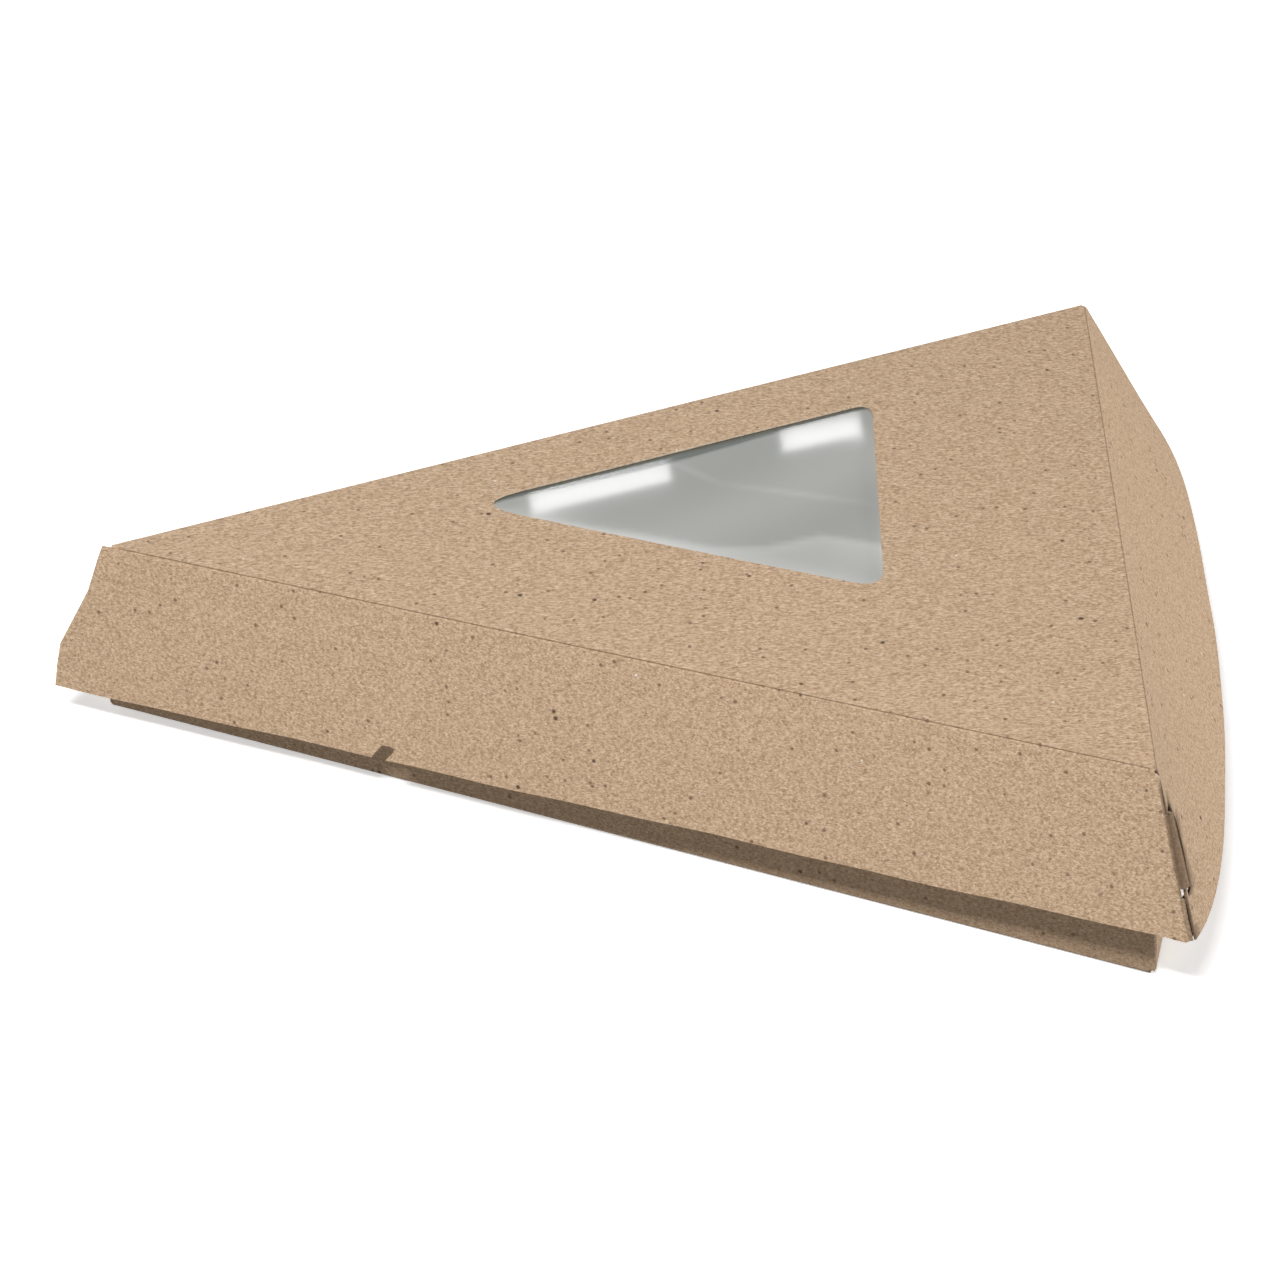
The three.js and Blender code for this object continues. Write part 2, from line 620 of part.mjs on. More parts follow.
const lidGroup = new THREE.Group();
lidGroup.add(lid(), windowFilm());
lidGroup.position.set(TRAY_TIP_AHEAD, 0, HINGE_HEIGHT);
lidGroup.quaternion.setFromAxisAngle(ALONG_FAR.clone().negate(), LID_AJAR);

const box = new THREE.Group();
box.add(tray(), lidGroup);
box.updateMatrixWorld(true);

// The origin lies under the middle of the whole box
const bounds = new THREE.Box3().setFromObject(box, true);
const centre = bounds.getCenter(new THREE.Vector3());
box.position.set(-centre.x, -centre.y, -bounds.min.z);
box.updateMatrixWorld(true);

export default box;
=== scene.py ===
# %% [markdown]
# # A windowed pizza slice box
# The real box is one sheet of kraft board, cut flat, scored, folded and glued, with a clear film
# glued under the hole in its lid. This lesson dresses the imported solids: it cuts the same blanks
# again with a fine net of points, folds them, gives them thickness, and paints board and film.

import math

import bpy
import numpy as np
from mathutils import Matrix, Vector, geometry


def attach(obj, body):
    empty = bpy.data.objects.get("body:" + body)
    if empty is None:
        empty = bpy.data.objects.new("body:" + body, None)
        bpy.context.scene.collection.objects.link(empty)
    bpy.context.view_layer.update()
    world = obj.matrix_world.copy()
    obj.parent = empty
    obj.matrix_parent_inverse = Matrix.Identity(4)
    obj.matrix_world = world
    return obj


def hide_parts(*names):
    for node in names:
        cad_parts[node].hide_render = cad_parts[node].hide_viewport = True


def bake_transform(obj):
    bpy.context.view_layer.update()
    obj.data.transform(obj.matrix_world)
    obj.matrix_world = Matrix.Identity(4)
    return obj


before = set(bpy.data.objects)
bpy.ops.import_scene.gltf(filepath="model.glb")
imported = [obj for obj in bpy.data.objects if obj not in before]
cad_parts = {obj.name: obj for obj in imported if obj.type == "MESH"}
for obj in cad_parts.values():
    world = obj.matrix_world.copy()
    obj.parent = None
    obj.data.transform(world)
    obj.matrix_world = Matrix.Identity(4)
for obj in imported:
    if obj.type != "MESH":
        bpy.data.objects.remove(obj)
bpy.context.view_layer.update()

# %% [markdown]
# The measures are those of the solids, in millimetres. The tip of the tray is the origin here, X
# runs along the middle of the slice, and the near side faces -Y. One shift and one scale at the
# end put every point in the row's frame.

# %% Measures
MM = 0.001
TO_ROW = np.array([-118.674, 3.260, 0.0])
HALF_ANGLE = math.radians(22.5)
SLICE_LENGTH = 220.0
HALF_WIDTH = SLICE_LENGTH * math.tan(HALF_ANGLE)
NEAR_CREASE = SLICE_LENGTH / math.cos(HALF_ANGLE)
BOARD = 0.5
FOLD_RADIUS = 0.8
HINGE_HEIGHT = 44.3
LID_AJAR = math.radians(2.8)
LID_TIP_X = 4.0
ALONG_NEAR = np.array([math.cos(HALF_ANGLE), -math.sin(HALF_ANGLE), 0.0])
ALONG_FAR = np.array([math.cos(HALF_ANGLE), math.sin(HALF_ANGLE), 0.0])
OUT_NEAR = np.array([-math.sin(HALF_ANGLE), -math.cos(HALF_ANGLE), 0.0])
OUT_FAR = np.array([-math.sin(HALF_ANGLE), math.cos(HALF_ANGLE), 0.0])
LID_TURN = np.array(Matrix.Rotation(LID_AJAR, 3, Vector(-ALONG_FAR)))
print("crust crease", round(2 * HALF_WIDTH, 1), "mm, near crease", round(NEAR_CREASE, 1), "mm")


def place_tray(points):
    return (np.asarray(points) + TO_ROW) * MM


def place_lid(points):
    turned = np.asarray(points) @ LID_TURN.T
    return (turned + [LID_TIP_X, 0.0, HINGE_HEIGHT] + TO_ROW) * MM


# %% [markdown]
# A long lens from the near side, fitted to the corners and creases in the photograph. The camera
# also rolls a little, because the photograph isn't quite level.

# %% Camera
LENS = 113.70
camera_data = bpy.data.cameras.new("camera")
camera_data.lens = LENS
camera_data.sensor_width = 36.0
camera_data.clip_start = 0.01
camera = bpy.data.objects.new("camera", camera_data)
bpy.context.scene.collection.objects.link(camera)
camera_place = np.array([139.11, -708.52, 562.71])
azimuth, elevation, roll = (math.radians(a) for a in (1.546, 37.624, -1.667))
sight = np.array([
    -math.sin(azimuth) * math.cos(elevation),
    math.cos(azimuth) * math.cos(elevation),
    -math.sin(elevation),
])
level = np.array([math.cos(azimuth), math.sin(azimuth), 0.0])
upright = np.cross(level, sight)
right = math.cos(roll) * level + math.sin(roll) * upright
above = -math.sin(roll) * level + math.cos(roll) * upright
turn = Matrix([right, above, -sight]).transposed().to_4x4()
camera.matrix_world = Matrix.Translation(Vector(place_tray(camera_place))) @ turn
bpy.context.scene.camera = camera
print("camera", [round(c, 3) for c in camera.location])


def pixel_ray(px, py):
    focal = LENS / 36.0 * 1280.0
    ray = sight + right * (px - 640.0) / focal - above * (py - 640.0) / focal
    return ray / np.linalg.norm(ray)


# %% [markdown]
# The sky, the floor and every finish are built from nodes, so a few helpers come first. The last
# one finds the rays that look straight at something, from the camera, by a mirror or through the
# film, and leaves out those that only carry light from one surface to the next.

# %% Node helpers
def node(tree, kind, **values):
    made = tree.nodes.new(kind)
    for name, value in values.items():
        if hasattr(made, name):
            setattr(made, name, value)
        else:
            made.inputs[name].default_value = value
    return made


def link(tree, source, target):
    tree.links.new(source, target)


def remapped(tree, value, source_range, target_range=(0.0, 1.0)):
    ramp = node(tree, "ShaderNodeMapRange")
    sockets = ("From Min", "From Max", "To Min", "To Max")
    for socket, number in zip(sockets, (*source_range, *target_range)):
        ramp.inputs[socket].default_value = number
    link(tree, value, ramp.inputs["Value"])
    return ramp.outputs["Result"]


def looking_rays(tree):
    path = node(tree, "ShaderNodeLightPath")
    looking = path.outputs["Is Camera Ray"]
    for kind in ("Is Glossy Ray", "Is Transmission Ray"):
        either = node(tree, "ShaderNodeMath", operation="MAXIMUM")
        link(tree, looking, either.inputs[0])
        link(tree, path.outputs[kind], either.inputs[1])
        looking = either.outputs[0]
    return looking


# %% [markdown]
# Board is matte, so it needs soft even light: a pale sky, a broad lamp high above the near side,
# and weak low ones for the near wall, the crust side and the far wall. The floor sends little
# light back up, so the tray stays dark under the lid's overhang as it does in the photo; shade is
# also painted on the tray's near wall there.

# %% Lamps and sky
SKY_LEVEL = 0.06
MIDDLE = (0, 0, 0.02)


def area_lamp(name, place, target, size, watts):
    data = bpy.data.lights.new(name, "AREA")
    data.shape = "RECTANGLE"
    data.size, data.size_y = size
    data.energy = watts
    lamp = bpy.data.objects.new(name, data)
    bpy.context.scene.collection.objects.link(lamp)
    lamp.location = place
    aim = Vector(target) - Vector(place)
    lamp.rotation_euler = aim.to_track_quat("-Z", "Y").to_euler()
    lamp.visible_camera = False
    return lamp


area_lamp("key_lamp", (-0.265, -0.640, 1.271), MIDDLE, (0.6, 0.15), 18.3)
area_lamp("fill_lamp", (-0.568, -1.372, 0.23), MIDDLE, (0.6, 0.4), 6.9)
area_lamp("crust_lamp", (1.32, 0.0, 0.20), MIDDLE, (0.6, 0.3), 12.0)
area_lamp("back_lamp", (-0.573, 1.383, 0.125), MIDDLE, (0.6, 0.2), 13.3)

world = bpy.data.worlds.new("sky")
bpy.context.scene.world = world
world.use_nodes = True
sky_tree = world.node_tree
sky = sky_tree.nodes["Background"]
sky.inputs["Color"].default_value = (1, 1, 1, 1)
sky_strength = remapped(sky_tree, looking_rays(sky_tree), (0.0, 1.0), (SKY_LEVEL, 1.0))
link(sky_tree, sky_strength, sky.inputs["Strength"])
print("sky level on the box", SKY_LEVEL)

# %% [markdown]
# The floor glows a little where it is looked at, so that it comes out white, and more and more
# away from the box, where the lamps fade. Near the box it glows less and keeps the shadow.

# %% Floor
FLOOR_HALF = 4.0
FLOOR_DROP = 0.0002
GLOW_REACH = (0.4, 1.4)
GLOW_LEVELS = (0.5, 1.0)
FLOOR_CORNERS = ((-1, -1), (1, -1), (1, 1), (-1, 1))
floor_mesh = bpy.data.meshes.new("floor")
floor_mesh.from_pydata(
    [(x * FLOOR_HALF, y * FLOOR_HALF, -FLOOR_DROP) for x, y in FLOOR_CORNERS],
    [],
    [(0, 1, 2, 3)],
)
floor = bpy.data.objects.new("floor", floor_mesh)
bpy.context.scene.collection.objects.link(floor)
floor_paint = bpy.data.materials.new("floor_paint")
floor_paint.use_nodes = True
tree = floor_paint.node_tree
tree.nodes.clear()
out = node(tree, "ShaderNodeOutputMaterial")
dull = node(tree, "ShaderNodeBsdfDiffuse", Color=(0.05, 0.045, 0.04, 1))
pale = node(tree, "ShaderNodeBsdfDiffuse", Color=(1, 1, 1, 1))
glow = node(tree, "ShaderNodeEmission", Color=(1, 1, 1, 1))
away = node(tree, "ShaderNodeVectorMath", operation="LENGTH")
link(tree, node(tree, "ShaderNodeTexCoord").outputs["Object"], away.inputs[0])
glow_strength = remapped(tree, away.outputs["Value"], GLOW_REACH, GLOW_LEVELS)
link(tree, glow_strength, glow.inputs["Strength"])
lit = node(tree, "ShaderNodeAddShader")
link(tree, pale.outputs[0], lit.inputs[0])
link(tree, glow.outputs[0], lit.inputs[1])
chosen = node(tree, "ShaderNodeMixShader")
link(tree, looking_rays(tree), chosen.inputs["Fac"])
link(tree, dull.outputs[0], chosen.inputs[1])
link(tree, lit.outputs[0], chosen.inputs[2])
link(tree, chosen.outputs[0], out.inputs["Surface"])
floor_mesh.materials.append(floor_paint)
print("floor laid", 2 * FLOOR_HALF, "m wide")

# %% [markdown]
# Kraft board is brown pulp: cloudy at the scale of a few millimetres, crossed by short pale and
# dark fibres, with a few dark specks of bark and a few white flecks. Stretched noise makes the
# fibres, and cells with a small round middle make the specks. Painted shade comes in through a
# point attribute, which the folding code writes: dark lines along the creases, at the corner and
# round the slit, across the tabs, and on the tray's near wall under the lid.

# %% Kraft board
PALE_FIBRES = ((0, 0, 20), (0, 50, -50), (60, 0, -22), (0, 90, 80))
BROWN_FIBRES = ((0, 0, 75), (70, 20, 40), (0, 80, -30))
# The last of these colours is painted shade, for the creases, the corner, the tabs and the tray
# under the lid.
PALE, BROWN, PAINTED_SHADE = (0.80, 0.62, 0.45), (0.25, 0.145, 0.08), (0.10, 0.06, 0.035)
# scale, size, share of the cells, strength and colour of each kind of speck
SPECKS = (
    (620.0, 0.24, 0.30, 0.45, (0.18, 0.11, 0.06)),
    (330.0, 0.18, 0.34, 0.72, (0.13, 0.07, 0.04)),
    (120.0, 0.078, 0.42, 0.90, (0.08, 0.045, 0.03)),
    (130.0, 0.045, 0.30, 0.80, (0.88, 0.84, 0.78)),
)


def fibres(tree, place, turned, stretch, scale, low, high):
    mapping = node(tree, "ShaderNodeMapping", Scale=(1.0, stretch, stretch))
    mapping.inputs["Rotation"].default_value = [math.radians(angle) for angle in turned]
    link(tree, place, mapping.inputs["Vector"])
    grain = node(tree, "ShaderNodeTexNoise", Scale=scale, Detail=2.0)
    link(tree, mapping.outputs[0], grain.inputs["Vector"])
    return remapped(tree, grain.outputs["Fac"], (low, high))


def specks(tree, place, scale, size, share):
    cells = node(tree, "ShaderNodeTexVoronoi", Scale=scale)
    link(tree, place, cells.inputs["Vector"])
    near = remapped(tree, cells.outputs["Distance"], (size, size * 0.6))
    split = node(tree, "ShaderNodeSeparateColor")
    link(tree, cells.outputs["Color"], split.inputs[0])
    few = node(tree, "ShaderNodeMath", operation="LESS_THAN")
    few.inputs[1].default_value = share
    link(tree, split.outputs[0], few.inputs[0])
    both = node(tree, "ShaderNodeMath", operation="MULTIPLY")
    link(tree, near, both.inputs[0])
    link(tree, few.outputs[0], both.inputs[1])
    return both.outputs[0]


def tinted(tree, base, amount, strength, colour):
    share = node(tree, "ShaderNodeMath", operation="MULTIPLY")
    share.inputs[1].default_value = strength
    link(tree, amount, share.inputs[0])
    mixed = node(tree, "ShaderNodeMix", data_type="RGBA")
    mixed.inputs[7].default_value = (*colour, 1.0)
    link(tree, share.outputs[0], mixed.inputs[0])
    link(tree, base, mixed.inputs[6])
    return mixed.outputs[2]


def kraft(name, dark, light, rough):
    board = bpy.data.materials.new(name)
    board.use_nodes = True
    tree = board.node_tree
    skin = tree.nodes["Principled BSDF"]
    skin.inputs["Roughness"].default_value = rough
    skin.inputs["Specular IOR Level"].default_value = 0.25
    place = node(tree, "ShaderNodeTexCoord").outputs["Object"]
    cloud = node(tree, "ShaderNodeTexNoise", Scale=1250.0, Detail=4.0, Roughness=0.62)
    link(tree, place, cloud.inputs["Vector"])
    ramp = node(tree, "ShaderNodeValToRGB")
    ramp.color_ramp.elements[0].position = 0.32
    ramp.color_ramp.elements[0].color = (*dark, 1.0)
    ramp.color_ramp.elements[1].position = 0.68
    ramp.color_ramp.elements[1].color = (*light, 1.0)
    link(tree, cloud.outputs["Fac"], ramp.inputs["Fac"])
    colour = ramp.outputs["Color"]
    for turned in PALE_FIBRES:
        amount = fibres(tree, place, turned, 5.0, 640.0, 0.59, 0.68)
        colour = tinted(tree, colour, amount, 0.58, PALE)
    for turned in BROWN_FIBRES:
        amount = fibres(tree, place, turned, 4.5, 700.0, 0.59, 0.70)
        colour = tinted(tree, colour, amount, 0.55, BROWN)
    for scale, size, share, strength, tint in SPECKS:
        colour = tinted(tree, colour, specks(tree, place, scale, size, share), strength, tint)
    # Painted shade: the point attribute darkens the board towards the shade colour.
    painted_shading = node(tree, "ShaderNodeAttribute", attribute_name="painted_shading")
    colour = tinted(tree, colour, painted_shading.outputs["Fac"], 0.88, PAINTED_SHADE)
    link(tree, colour, skin.inputs["Base Color"])
    bump = node(tree, "ShaderNodeBump", Strength=0.35, Distance=0.00006)
    link(tree, cloud.outputs["Fac"], bump.inputs["Height"])
    link(tree, bump.outputs["Normal"], skin.inputs["Normal"])
    return board


kraft_face = kraft("kraft_face", (0.365, 0.243, 0.147), (0.66, 0.472, 0.312), 0.92)
kraft_edge = kraft("kraft_cut_edge", (0.50, 0.37, 0.25), (0.68, 0.53, 0.39), 0.95)
print("board finishes", kraft_face.name, kraft_edge.name)

# %% [markdown]
# A folded sheet is easiest to make as the carton maker does: draw the flat blank, then fold it.
# Delaunay triangulation fills the flat outline with even triangles and keeps the creases as
# edges, so that each fold lands exactly on its line.

# %% Flat blanks
def resampled(points, step):
    points = np.asarray(points, float)
    rows = []
    for start, end in zip(points, np.roll(points, -1, axis=0)):
        count = max(1, int(math.ceil(np.linalg.norm(end - start) / step)))
        rows.extend(start + (end - start) * k / count for k in range(count))
    return np.array(rows)


def inside(points, loop):
    x, y = points[:, 0][:, None], points[:, 1][:, None]
    a, b = loop, np.roll(loop, -1, axis=0)
    crosses = (a[:, 1] > y) != (b[:, 1] > y)
    rise = np.where(b[:, 1] == a[:, 1], 1e-9, b[:, 1] - a[:, 1])
    at = a[:, 0] + (y - a[:, 1]) * (b[:, 0] - a[:, 0]) / rise
    return (np.sum(crosses & (x < at), axis=1) % 2) == 1


def distance_to(points, loop):
    a, b = loop, np.roll(loop, -1, axis=0)
    ab = b - a
    ap = points[:, None, :] - a[None]
    t = np.clip(np.sum(ap * ab, axis=2) / np.maximum(np.sum(ab * ab, axis=1), 1e-12), 0, 1)
    return np.min(np.linalg.norm(ap - t[..., None] * ab, axis=2), axis=1)


def blank_net(outline, holes, creases, step):
    loops = [resampled(outline, step), *(resampled(hole, step / 2) for hole in holes)]
    points, edges = [], []
    for loop in loops:
        first = len(points)
        points.extend(loop)
        edges.extend((first + k, first + (k + 1) % len(loop)) for k in range(len(loop)))
    for line in creases:
        first = len(points)
        points.extend(line)
        edges.extend((first + k, first + k + 1) for k in range(len(line) - 1))
    low, high = loops[0].min(0), loops[0].max(0)
    columns, rows = (np.arange(low[axis], high[axis], step) for axis in (0, 1))
    grid = np.stack(np.meshgrid(columns, rows), -1).reshape(-1, 2)
    keep = inside(grid, loops[0]) & (distance_to(grid, loops[0]) > 0.4 * step)
    for hole in loops[1:]:
        keep &= ~inside(grid, hole) & (distance_to(grid, hole) > 0.3 * step)
    if len(creases):
        marks = np.concatenate([np.asarray(line) for line in creases])
        spare = np.array([np.min(np.linalg.norm(marks - point, axis=1)) for point in grid])
        keep &= spare > 0.4 * step
    points.extend(grid[keep])
    found = geometry.delaunay_2d_cdt([Vector(p) for p in points], edges, [], 0, 1e-5)
    verts = np.array([tuple(v) for v in found[0]])
    faces = np.array([f for f in found[2] if len(f) == 3])
    middles = verts[faces].mean(axis=1)
    keep = inside(middles, loops[0])
    for hole in loops[1:]:
        keep &= ~inside(middles, hole)
    return verts, faces[keep]


def sheet_piece(name, verts, faces, shading_values, body, finishes, thick=BOARD, even=True):
    mesh = bpy.data.meshes.new(name)
    mesh.from_pydata([tuple(v) for v in verts], [], [tuple(int(i) for i in f) for f in faces])
    mark = mesh.attributes.new("painted_shading", "FLOAT", "POINT")
    mark.data.foreach_set("value", np.asarray(shading_values, np.float32))
    for finish in finishes:
        mesh.materials.append(finish)
    piece = bpy.data.objects.new(name, mesh)
    bpy.context.scene.collection.objects.link(piece)
    shell = piece.modifiers.new("thickness", "SOLIDIFY")
    shell.thickness = thick * MM
    shell.offset = -1.0
    shell.use_even_offset = even
    shell.use_quality_normals = True
    shell.material_offset_rim = len(finishes) - 1
    bpy.context.view_layer.update()
    finished = piece.evaluated_get(bpy.context.evaluated_depsgraph_get())
    solid = bpy.data.meshes.new_from_object(finished)
    piece.modifiers.clear()
    piece.data = solid
    solid.name = name
    solid.polygons.foreach_set("use_smooth", [True] * len(solid.polygons))
    solid.set_sharp_from_angle(angle=math.radians(38))
    if body:
        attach(piece, body)
    print(name, len(solid.polygons), "faces")
    return piece


# %% [markdown]
# A fold turns a small radius between two flats. Each point of the blank near a crease goes onto
# that arc, and each point beyond it onto the wall.

# %% Folding
CREASE_SHADE_HALF = 0.3
FOLD_OFFSETS = (-0.9, -0.66, -0.3, 0.0, 0.3, 0.66, 0.9)


def fold_way(past, bend):
    setback = FOLD_RADIUS * np.tan(bend / 2)
    share = np.clip((past + setback) / (2 * setback), 0, 1)
    arc_out = FOLD_RADIUS * np.sin(bend * share) - setback
    arc_down = FOLD_RADIUS * (1 - np.cos(bend * share))
    folded = past >= setback
    out = np.where(folded, past * np.cos(bend), arc_out)
    down = np.where(folded, past * np.sin(bend), arc_down)
    flat = past <= -setback
    out, down = np.where(flat, past, out), np.where(flat, 0.0, down)
    return out, down


def crease_rows(start, end, out, offsets, step):
    start, end, out = (np.asarray(p, float)[:2] for p in (start, end, out))
    count = int(np.linalg.norm(end - start) / step)
    steps = np.linspace(0, 1, count + 1)[:, None]
    return [start + (end - start) * steps + out * offset for offset in offsets]


# Painted shade along a crease: darkest on the line, gone a short way to either side.
def crease_shade(past):
    return np.clip(1.0 - np.abs(past) / CREASE_SHADE_HALF, 0, 1)


print("rows of points across each fold", len(FOLD_OFFSETS))

# %% [markdown]
# The lid is one blank: a wedge panel with the window cut out, a straight wall along its near side
# and a bowed wall along its crust side. The near wall's tip end, its free edge and the little nick
# in that edge follow the photograph.

# %% Lid blank
NEAR_BEND = math.radians(90 - 10.7)
NEAR_WIDTH = 36.85
CRUST_DROP = 36.2
CRUST_WIDTH = 41.0
HINGE_STRIP = 1.0
FLARE_BOWED, FLARE_LOCKED, FLARE_FREE, WIDEST = 23.3, 7.9, 17.4, 0.6
REACH_NEAR, REACH_FAR = 9.3, 6.4
CRUST_LENGTH = 2 * HALF_WIDTH + REACH_NEAR + REACH_FAR
WINDOW_NEAR, WINDOW_FAR, WINDOW_CRUST = 41.4, 18.3, 51.3
LID_STEP, WRINKLE_STEP = 3.4, 6.0


def near_point(along, past):
    return (along * ALONG_NEAR + past * OUT_NEAR)[:2]


def crust_flare(share):
    to_locked = np.maximum(0, 1 - share / WIDEST)
    to_free = np.maximum(0, (share - WIDEST) / (1 - WIDEST))
    bow = 0.7 * to_locked**1.8 + 0.3 * to_locked**10
    narrowed = FLARE_BOWED - (FLARE_BOWED - FLARE_LOCKED) * bow
    return narrowed - (FLARE_BOWED - FLARE_FREE) * to_free**4


def wavy(length, seed):
    return 0.16 * math.sin(length * 0.071 + seed) + 0.10 * math.sin(length * 0.19 + 2.3 * seed)


def rounded(corners, radii, steps=7):
    corners = np.asarray(corners, float)
    loop = []
    for k, (corner, radius) in enumerate(zip(corners, radii)):
        back = corners[k - 1] - corner
        ahead = corners[(k + 1) % len(corners)] - corner
        back, ahead = back / np.linalg.norm(back), ahead / np.linalg.norm(ahead)
        half = math.acos(float(back @ ahead)) / 2
        reach = radius / math.tan(half)
        start, end = corner + back * reach, corner + ahead * reach
        for t in np.linspace(0, 1, steps):
            loop.append((1 - t) ** 2 * start + 2 * t * (1 - t) * corner + t * t * end)
    return np.array(loop)


def wedge(from_near, from_far, from_crust):
    x = SLICE_LENGTH - from_crust
    slope = math.tan(HALF_ANGLE)
    near_shift, far_shift = from_near / math.cos(HALF_ANGLE), from_far / math.cos(HALF_ANGLE)
    tip = ((near_shift + far_shift) / (2 * slope), (near_shift - far_shift) / 2)
    return np.array([tip, (x, near_shift - x * slope), (x, x * slope - far_shift)])


tip_end = [(-0.7, 0.35), (-2.0, 4.0), (-4.5, 11.7), (-8.25, 19.0), (-12.0, 26.2), (-13.0, 31.8)]
free_edge = [(s, NEAR_WIDTH + wavy(s, 1.0)) for s in np.arange(-13.6, 63, WRINKLE_STEP)]
nick = [(65.0, 36.85), (66.0, 35.4), (67.5, 33.45), (69.4, 33.3)]
nick += [(70.5, 33.7), (70.2, 34.6), (68.3, 36.9)]
free_edge_right = [(s, NEAR_WIDTH + wavy(s, 1.0)) for s in np.arange(74.0, 246.0, WRINKLE_STEP)]
corner_end = [(247.3, 36.9), (248.2, 36.2), (247.9, 35.2), (246.8, 32.0), (245.7, 27.9)]
corner_end += [(244.5, 23.5), (243.7, 21.4), (242.5, 16.8), (241.2, 11.9), (239.9, 7.4)]
corner_end += [(238.5, 1.6), (237.4, 0.7)]
near_loop = [(1.45, 0), *tip_end, *free_edge, *nick, *free_edge_right, *corner_end]
near_side = [near_point(*p) for p in near_loop]
crust_edge = SLICE_LENGTH + CRUST_WIDTH
crust_side = [
    (SLICE_LENGTH, -HALF_WIDTH + 0.4),
    (SLICE_LENGTH + 0.9, -HALF_WIDTH + 0.9),
    (SLICE_LENGTH + 0.4 * CRUST_WIDTH, -HALF_WIDTH + 0.75),
    (crust_edge, -HALF_WIDTH + 0.3),
    *((crust_edge + wavy(y, 3.0), y) for y in np.arange(-86.0, 88.0, WRINKLE_STEP)),
    (crust_edge - 0.6, HALF_WIDTH - 0.2),
    (crust_edge - 1.6, HALF_WIDTH),
    (SLICE_LENGTH + 1.0, HALF_WIDTH - 0.6),
    (SLICE_LENGTH - 0.3, HALF_WIDTH - 1.3),
]
outline = np.array([*near_side, *crust_side])
window = rounded(wedge(WINDOW_NEAR, WINDOW_FAR, WINDOW_CRUST), (5.5, 5.0, 3.4))
SLIT_START = 1.5
slit_edge = [(SLIT_START, 9.2), (4.4, 9.6), (6.6, 15.0), (5.9, 17.5), (5.3, 20.1), (4.1, 23.4)]
slit_edge += [(3.6, 25.7), (3.2, 27.0), (SLIT_START, 27.4)]
slit = np.array([
    (
        SLICE_LENGTH + down / CRUST_DROP * CRUST_WIDTH,
        -HALF_WIDTH + away * 2 * HALF_WIDTH / CRUST_LENGTH,
    )
    for away, down in slit_edge
])
creases = crease_rows(near_point(3.6, 0), near_point(236.2, 0), OUT_NEAR, FOLD_OFFSETS, 2.4)
creases += crease_rows((SLICE_LENGTH, -89.6), (SLICE_LENGTH, 89.2), (1, 0), FOLD_OFFSETS, 2.4)
corner_points = resampled(np.array(corner_end), 2.0)[:-8]
creases.append([near_point(s - 0.5, e) for s, e in corner_points if 1.6 < e < 36])
creases.append([
    (SLICE_LENGTH + u, -HALF_WIDTH + 1.5 - 0.6 * u / CRUST_WIDTH) for u in np.arange(1.6, 39.5, 2.0)
])
flat, lid_faces = blank_net(outline, [window, slit], creases, LID_STEP)
print("lid blank", len(flat), "points", len(lid_faces), "triangles")

# %% Fold the lid
def folded_lid(points):
    points = np.asarray(points, float)
    x, y = points[:, 0], points[:, 1]
    past_near = points @ OUT_NEAR[:2]
    along = points @ ALONG_NEAR[:2]
    out, down = fold_way(past_near, NEAR_BEND)
    near_wall = along[:, None] * ALONG_NEAR + out[:, None] * OUT_NEAR
    near_wall[:, 2] = -down
    share = np.clip((y + HALF_WIDTH) / (2 * HALF_WIDTH), 0, 1)
    flare = crust_flare(share)
    bend = np.arctan2(CRUST_DROP, flare)
    width = np.hypot(CRUST_DROP, flare)
    past_crust = x - SLICE_LENGTH
    past = np.where(past_crust < 1.2, past_crust, past_crust / CRUST_WIDTH * width)
    crust_out, crust_down = fold_way(past, bend)
    down_share = np.clip(past_crust / CRUST_WIDTH, 0, 1.02)
    edge = -HALF_WIDTH - REACH_NEAR + share * CRUST_LENGTH
    crust_y = y + (edge - y) * down_share
    crust_wall = np.stack([SLICE_LENGTH + crust_out, crust_y, -crust_down], axis=1)
    on_near = (past_near > -0.7) & ((x < SLICE_LENGTH - 0.7) | (past_near > 0.05))
    return np.where(on_near[:, None], near_wall, crust_wall), past_near, along


lid_points, past_near, along = folded_lid(flat)
swell = 0.22 * np.sin(lid_points[:, 0] * 0.031 + 0.6) * np.cos(lid_points[:, 1] * 0.043)
on_panel = (past_near < -1) & (lid_points[:, 2] > -0.3)
from_edges = np.clip(np.minimum(-past_near, SLICE_LENGTH - flat[:, 0]) / 25.0, 0, 1)
from_hinge = np.clip(-(flat @ OUT_FAR[:2] + HINGE_STRIP) / 20.0, 0, 1)
lid_points[:, 2] -= np.where(on_panel, 0.9 * np.abs(swell) * from_edges * from_hinge, 0.0)
